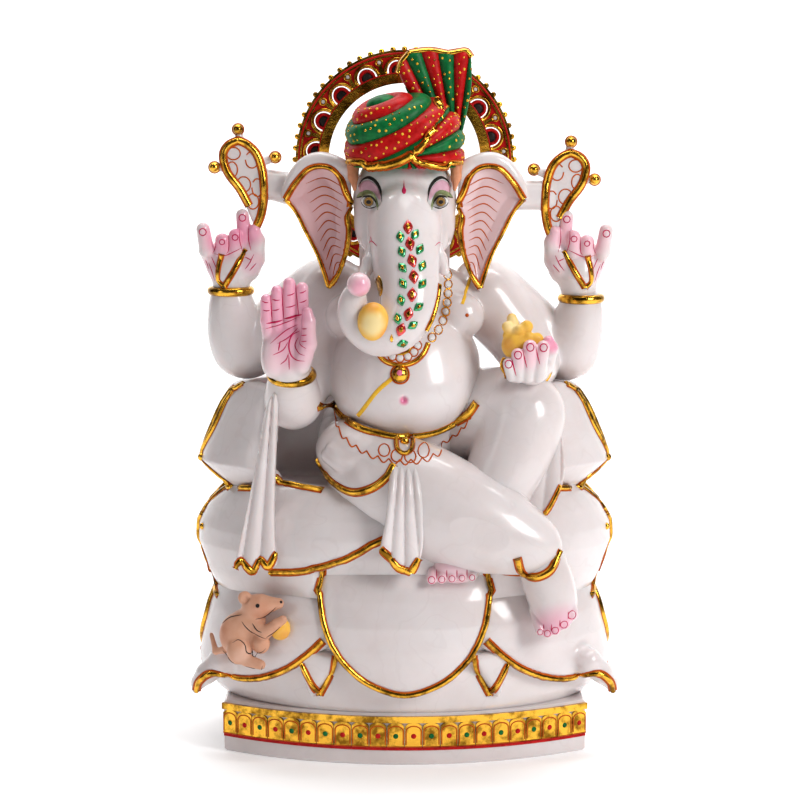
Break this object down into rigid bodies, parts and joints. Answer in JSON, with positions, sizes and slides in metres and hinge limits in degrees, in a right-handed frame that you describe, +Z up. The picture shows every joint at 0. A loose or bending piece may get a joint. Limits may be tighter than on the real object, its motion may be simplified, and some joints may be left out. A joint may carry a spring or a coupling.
{
  "type": "ganesha idol",
  "caption": "Seated elephant-headed deity of painted and gilded white marble on a lotus-petal throne with a halo ring, a flat-based devotional figure",
  "frame": {"origin": "centre of the flat underside of the plinth", "axes": "+Z up from the resting face, -Y out of the figure's front, +X to the viewer's right"},
  "size_m": [0.276, 0.183, 0.4572],
  "materials": {
    "marble": "polished white marble, faintly warm and translucent",
    "tinted_marble": "polished white marble tinted pink at the fingers, palms and toes",
    "ear_paint": "white marble with a pink wash and orange vein lines",
    "gold_leaf": "burnished gold leaf on carved relief, edged with thin orange-red lines",
    "red_paint": "satin red paint with gold dots",
    "green_paint": "satin green paint with gold dots",
    "crest_paint": "alternate red, pink and green painted pleats with gold dots",
    "glass_stones": "foiled glass stones, red in the middle row and green beside it",
    "yellow_sweets": "yellow to orange satin paint",
    "mouse_paint": "satin peach paint with fine dark outlines",
    "steel_pins": "plain drawn steel"
  },
  "bodies": {
    "root": {"arm_front_left": "marble", "arm_front_right": "marble", "arm_rear_left": "marble", "arm_rear_right": "marble", "back_pillar": "marble", "bangles": "gold_leaf", "belt_clasp": "gold_leaf", "cloth_hems": "gold_leaf", "crest": "crest_paint", "crossed_leg": "marble", "dowels": "steel_pins", "ear_left": "ear_paint", "ear_right": "ear_paint", "ear_rims": "gold_leaf", "emblem_left": "marble", "emblem_right": "marble", "emblem_rims": "gold_leaf", "feet": "tinted_marble", "frieze_line": "red_paint", "frieze_moulding": "gold_leaf", "frieze_studs_green": "green_paint", "frieze_studs_red": "red_paint", "frieze_tiles": "gold_leaf", "halo_beads": "gold_leaf", "halo_ring": "gold_leaf", "halo_scrolls": "red_paint", "hand_blessing": "tinted_marble", "hand_offering": "tinted_marble", "hand_rear_left": "tinted_marble", "hand_rear_right": "tinted_marble", "head": "marble", "lotus_block": "marble", "mouse": "mouse_paint", "necklace": "gold_leaf", "petal_front": "marble", "petal_lower_left": "marble", "petal_lower_right": "marble", "petal_middle_left": "marble", "petal_middle_right": "marble", "petal_seat": "marble", "petal_upper_left": "marble", "petal_upper_right": "marble", "petals_small": "marble", "plinth": "marble", "raised_leg": "marble", "rims_lower": "gold_leaf", "rims_middle": "gold_leaf", "rims_upper": "gold_leaf", "scarf_left": "marble", "scarf_right": "marble", "sweets": "yellow_sweets", "torso": "marble", "trunk": "marble", "trunk_stones": "glass_stones", "turban_band": "gold_leaf", "turban_green": "green_paint", "turban_red": "red_paint", "tusks": "marble", "waist_belt": "gold_leaf", "waist_sash": "marble"}
  },
  "joints": []
}
